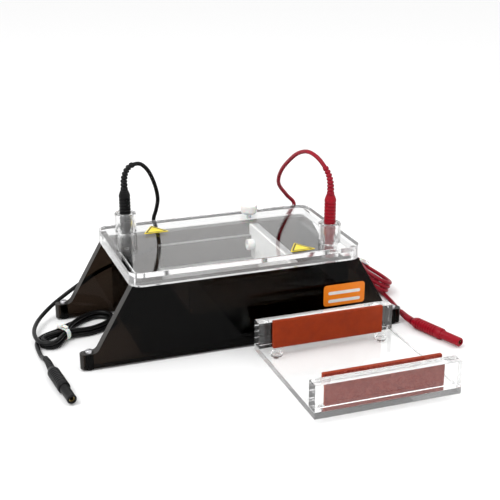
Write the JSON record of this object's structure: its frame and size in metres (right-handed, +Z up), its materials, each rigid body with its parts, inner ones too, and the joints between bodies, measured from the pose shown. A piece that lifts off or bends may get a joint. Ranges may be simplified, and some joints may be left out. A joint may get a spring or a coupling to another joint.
{
  "type": "gel electrophoresis tank",
  "caption": "Horizontal gel tank of smoked acrylic with a clear lid, plug-in leads, gel tray with comb, levelling screws and a casting stand with rubber pads.",
  "frame": {"origin": "centre of the footprint of tank and casting stand, on the bench", "axes": "+X along the tank towards the red electrode, +Y from the casting stand to the back of the tank, +Z up"},
  "size_m": [0.3563, 0.3058, 0.1606],
  "materials": {
    "smoked_acrylic": "polished smoked acrylic",
    "clear_acrylic": "polished clear acrylic",
    "white_plastic": "machined white nylon",
    "black_plastic": "moulded black plastic",
    "red_plastic": "moulded red plastic",
    "black_rubber": "satin black silicone rubber",
    "red_rubber": "satin red silicone rubber",
    "pad_rubber": "matt orange-brown silicone rubber",
    "yellow_label": "printed vinyl",
    "orange_label": "printed vinyl",
    "steel": "turned stainless steel",
    "platinum": "drawn platinum wire"
  },
  "bodies": {
    "tank": {"front_side_plate": "smoked_acrylic", "back_side_plate": "smoked_acrylic", "left_end_wall": "smoked_acrylic", "right_end_wall": "smoked_acrylic", "tank_floor": "smoked_acrylic", "gel_platform": "smoked_acrylic", "front_badge": "orange_label", "black_electrode_post": "black_plastic", "red_electrode_post": "red_plastic", "black_post_pin": "steel", "red_post_pin": "steel", "black_post_seal": "black_rubber", "red_post_seal": "black_rubber", "black_platinum_wire": "platinum", "red_platinum_wire": "platinum"},
    "lid": {"lid_cover": "clear_acrylic", "lid_knob": "white_plastic", "black_plug_tower": "clear_acrylic", "red_plug_tower": "clear_acrylic", "black_side_label": "yellow_label", "red_side_label": "yellow_label"},
    "black_lead": {"black_tower_plug": "black_plastic", "black_tower_boot": "black_rubber", "black_lead_cord": "black_rubber", "black_lead_hank": "black_rubber", "black_lead_tie": "white_plastic", "black_lead_tail": "black_rubber", "black_floor_boot": "black_rubber", "black_floor_plug": "black_plastic"},
    "red_lead": {"red_tower_plug": "red_plastic", "red_tower_boot": "red_rubber", "red_lead_cord": "red_rubber", "red_lead_hank": "red_rubber", "red_lead_tie": "white_plastic", "red_lead_tail": "red_rubber", "red_floor_boot": "red_rubber", "red_floor_plug": "red_plastic"},
    "gel_tray": {"gel_tray": "clear_acrylic"},
    "comb": {"comb_blade": "white_plastic", "comb_holder": "clear_acrylic"},
    "front_comb_screw": {"front_comb_screw": "white_plastic"},
    "back_comb_screw": {"back_comb_screw": "white_plastic"},
    "casting_stand": {"stand_base": "clear_acrylic", "near_clear_block": "clear_acrylic", "near_rubber_pad": "pad_rubber", "far_clear_block": "clear_acrylic", "far_rubber_pad": "pad_rubber", "near_left_stand_foot": "clear_acrylic", "near_right_stand_foot": "clear_acrylic", "far_left_stand_foot": "clear_acrylic", "far_right_stand_foot": "clear_acrylic"},
    "front_left_foot": {"front_left_foot_pad": "black_rubber"},
    "front_left_screw": {"front_left_levelling_screw": "steel"},
    "back_left_foot": {"back_left_foot_pad": "black_rubber"},
    "back_left_screw": {"back_left_levelling_screw": "steel"},
    "front_right_foot": {"front_right_foot_pad": "black_rubber"},
    "front_right_screw": {"front_right_levelling_screw": "steel"},
    "back_right_foot": {"back_right_foot_pad": "black_rubber"},
    "back_right_screw": {"back_right_levelling_screw": "steel"}
  },
  "joints": [
    {"name": "lid_lift", "type": "slide", "parent": "tank", "child": "lid", "axis": [0, 0, 1], "range_m": [0, 0.12]},
    {"name": "black_lead_pull", "type": "slide", "parent": "lid", "child": "black_lead", "axis": [0, 0, 1], "range_m": [0, 0.04]},
    {"name": "red_lead_pull", "type": "slide", "parent": "lid", "child": "red_lead", "axis": [0, 0, 1], "range_m": [0, 0.04]},
    {"name": "tray_lift", "type": "slide", "parent": "tank", "child": "gel_tray", "axis": [0, 0, 1], "range_m": [0, 0.03]},
    {"name": "comb_lift", "type": "slide", "parent": "tank", "child": "comb", "axis": [0, 0, 1], "range_m": [0, 0.06]},
    {"name": "front_comb_screw_turn", "type": "hinge", "parent": "comb", "child": "front_comb_screw", "pos_m": [0.0405, 0.03425, 0.054], "axis": [1, 0, 0], "range_deg": [-720, 0]},
    {"name": "back_comb_screw_turn", "type": "hinge", "parent": "comb", "child": "back_comb_screw", "pos_m": [0.0405, 0.11025, 0.054], "axis": [1, 0, 0], "range_deg": [-720, 0]},
    {"name": "stand_lift", "type": "slide", "parent": "tank", "child": "casting_stand", "axis": [0, 0, 1], "range_m": [0, 0.06]},
    {"name": "front_left_foot_drop", "type": "slide", "parent": "tank", "child": "front_left_foot", "axis": [0, 0, -1], "range_m": [0, 0.006]},
    {"name": "front_left_screw_turn", "type": "hinge", "parent": "front_left_foot", "child": "front_left_screw", "pos_m": [-0.141, 0.0152, 0.009], "axis": [0, 0, -1], "range_deg": [0, 2160]},
    {"name": "back_left_foot_drop", "type": "slide", "parent": "tank", "child": "back_left_foot", "axis": [0, 0, -1], "range_m": [0, 0.006]},
    {"name": "back_left_screw_turn", "type": "hinge", "parent": "back_left_foot", "child": "back_left_screw", "pos_m": [-0.141, 0.1293, 0.009], "axis": [0, 0, -1], "range_deg": [0, 2160]},
    {"name": "front_right_foot_drop", "type": "slide", "parent": "tank", "child": "front_right_foot", "axis": [0, 0, -1], "range_m": [0, 0.006]},
    {"name": "front_right_screw_turn", "type": "hinge", "parent": "front_right_foot", "child": "front_right_screw", "pos_m": [0.141, 0.0152, 0.009], "axis": [0, 0, -1], "range_deg": [0, 2160]},
    {"name": "back_right_foot_drop", "type": "slide", "parent": "tank", "child": "back_right_foot", "axis": [0, 0, -1], "range_m": [0, 0.006]},
    {"name": "back_right_screw_turn", "type": "hinge", "parent": "back_right_foot", "child": "back_right_screw", "pos_m": [0.141, 0.1293, 0.009], "axis": [0, 0, -1], "range_deg": [0, 2160]}
  ],
  "couplings": [
    {"joint": "comb_lift", "follows": "lid_lift", "ratio": 0.5},
    {"joint": "tray_lift", "follows": "lid_lift", "ratio": 0.25},
    {"joint": "front_left_screw_turn", "follows": "front_left_foot_drop", "rad_per_m": 6283.2},
    {"joint": "back_left_screw_turn", "follows": "back_left_foot_drop", "rad_per_m": 6283.2},
    {"joint": "front_right_screw_turn", "follows": "front_right_foot_drop", "rad_per_m": 6283.2},
    {"joint": "back_right_screw_turn", "follows": "back_right_foot_drop", "rad_per_m": 6283.2}
  ]
}
